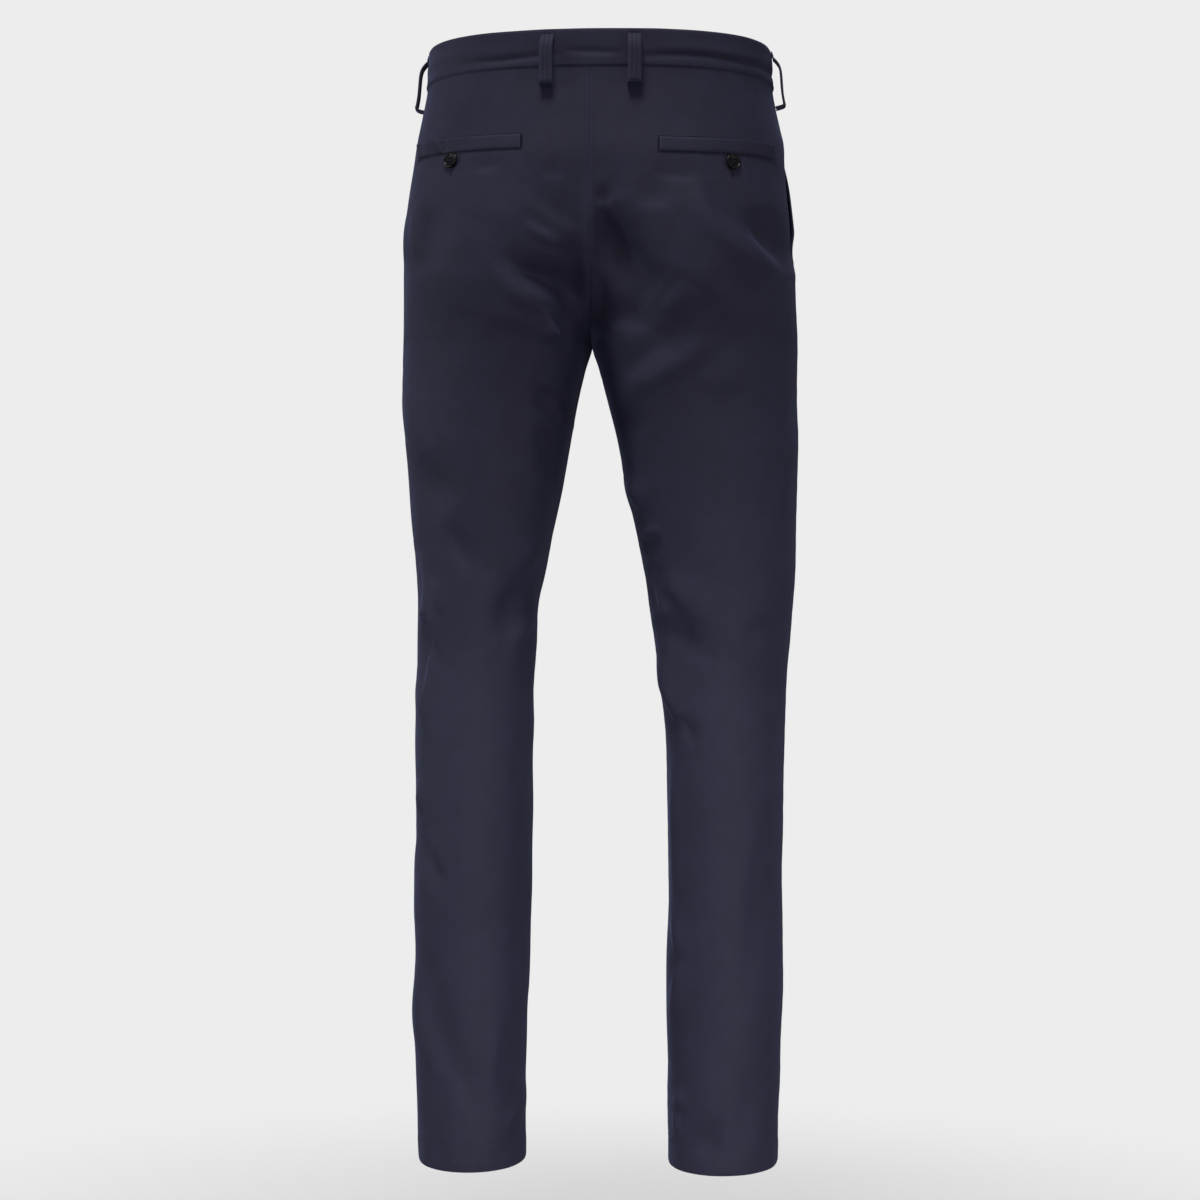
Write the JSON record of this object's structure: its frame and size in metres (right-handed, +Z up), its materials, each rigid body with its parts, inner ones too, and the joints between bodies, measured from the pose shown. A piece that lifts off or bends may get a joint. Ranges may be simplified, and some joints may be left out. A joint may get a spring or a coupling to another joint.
{
  "type": "chino trousers, filled out with no wearer",
  "caption": "Slim straight chino trousers, hollow as if worn, with belt loops, slant front pockets, buttoned welt back pockets and a fly front.",
  "frame": {"origin": "centre of the waistband, half way up its sides, where the wearer's waist holds the trousers", "axes": "+Z up along the wearer, -Y towards the front, +X towards the wearer's left"},
  "size_m": [0.3755, 0.2442, 1.0582],
  "materials": {
    "twill": "fine cotton twill with a faint sheen",
    "buttons": "polished black"
  },
  "bodies": {
    "root": {"back_left": "twill", "front_left": "twill", "pocket_facing_left": "twill", "waistband_left": "twill", "back_welt_left": "twill", "belt_loop_front_left": "twill", "belt_loop_side_left": "twill", "belt_loop_back_left": "twill", "back_right": "twill", "front_right": "twill", "pocket_facing_right": "twill", "waistband_right": "twill", "back_welt_right": "twill", "belt_loop_front_right": "twill", "belt_loop_side_right": "twill", "belt_loop_back_right": "twill", "fly_zip": "twill", "fly_shield": "twill", "back_button_left": "buttons", "back_button_right": "buttons", "waist_button": "buttons"}
  },
  "joints": []
}
